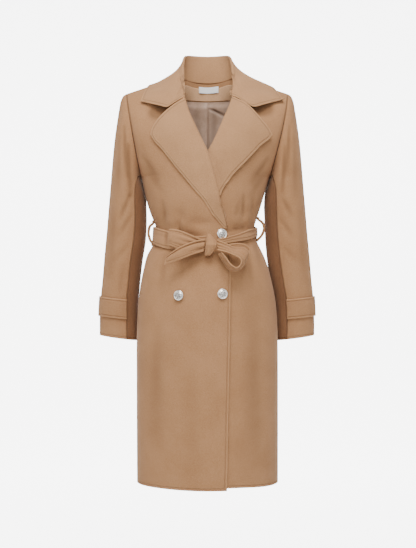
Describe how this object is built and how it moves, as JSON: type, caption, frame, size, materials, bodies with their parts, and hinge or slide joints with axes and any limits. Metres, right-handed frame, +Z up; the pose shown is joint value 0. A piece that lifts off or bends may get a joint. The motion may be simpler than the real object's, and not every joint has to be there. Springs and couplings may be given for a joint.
{
  "type": "notched lapel coat",
  "caption": "Knee-length double-breasted wool coat with notched lapels, tied sash belt, domed shank buttons and strapped cuffs, hollow and filled out as worn.",
  "frame": {"origin": "midway between the two points where the neck meets the shoulder seams, where the wearer's shoulders carry the coat", "axes": "+Z up, -Y out of the front, -X to the wearer's right, metres"},
  "size_m": [0.551, 0.305, 1.0785],
  "materials": {
    "camel_wool": "brushed wool coating with a short, matte nap",
    "taupe_lining": "smooth satin lining with a soft sheen",
    "label": "plain woven label, blank",
    "silver": "polished silver-coloured metal"
  },
  "bodies": {
    "root": {"back": "camel_wool", "front_right": "camel_wool", "front_left": "camel_wool", "neck_facing": "camel_wool", "sleeve_head_right": "camel_wool", "sleeve_elbow_right": "camel_wool", "sleeve_cuff_right": "camel_wool", "sleeve_head_left": "camel_wool", "sleeve_elbow_left": "camel_wool", "sleeve_cuff_left": "camel_wool", "sleeve_under_right": "camel_wool", "sleeve_under_left": "camel_wool", "sleeve_strap_right": "camel_wool", "sleeve_strap_left": "camel_wool", "lapel_right": "camel_wool", "lapel_left": "camel_wool", "collar": "camel_wool", "belt": "camel_wool", "belt_knot": "camel_wool", "bow_loop_right": "camel_wool", "bow_loop_left": "camel_wool", "bow_tail_right": "camel_wool", "bow_tail_left": "camel_wool", "belt_carrier_right": "camel_wool", "belt_carrier_left": "camel_wool", "back_lining": "taupe_lining", "label": "label", "button_1": "silver", "button_2": "silver", "button_3": "silver"}
  },
  "joints": []
}
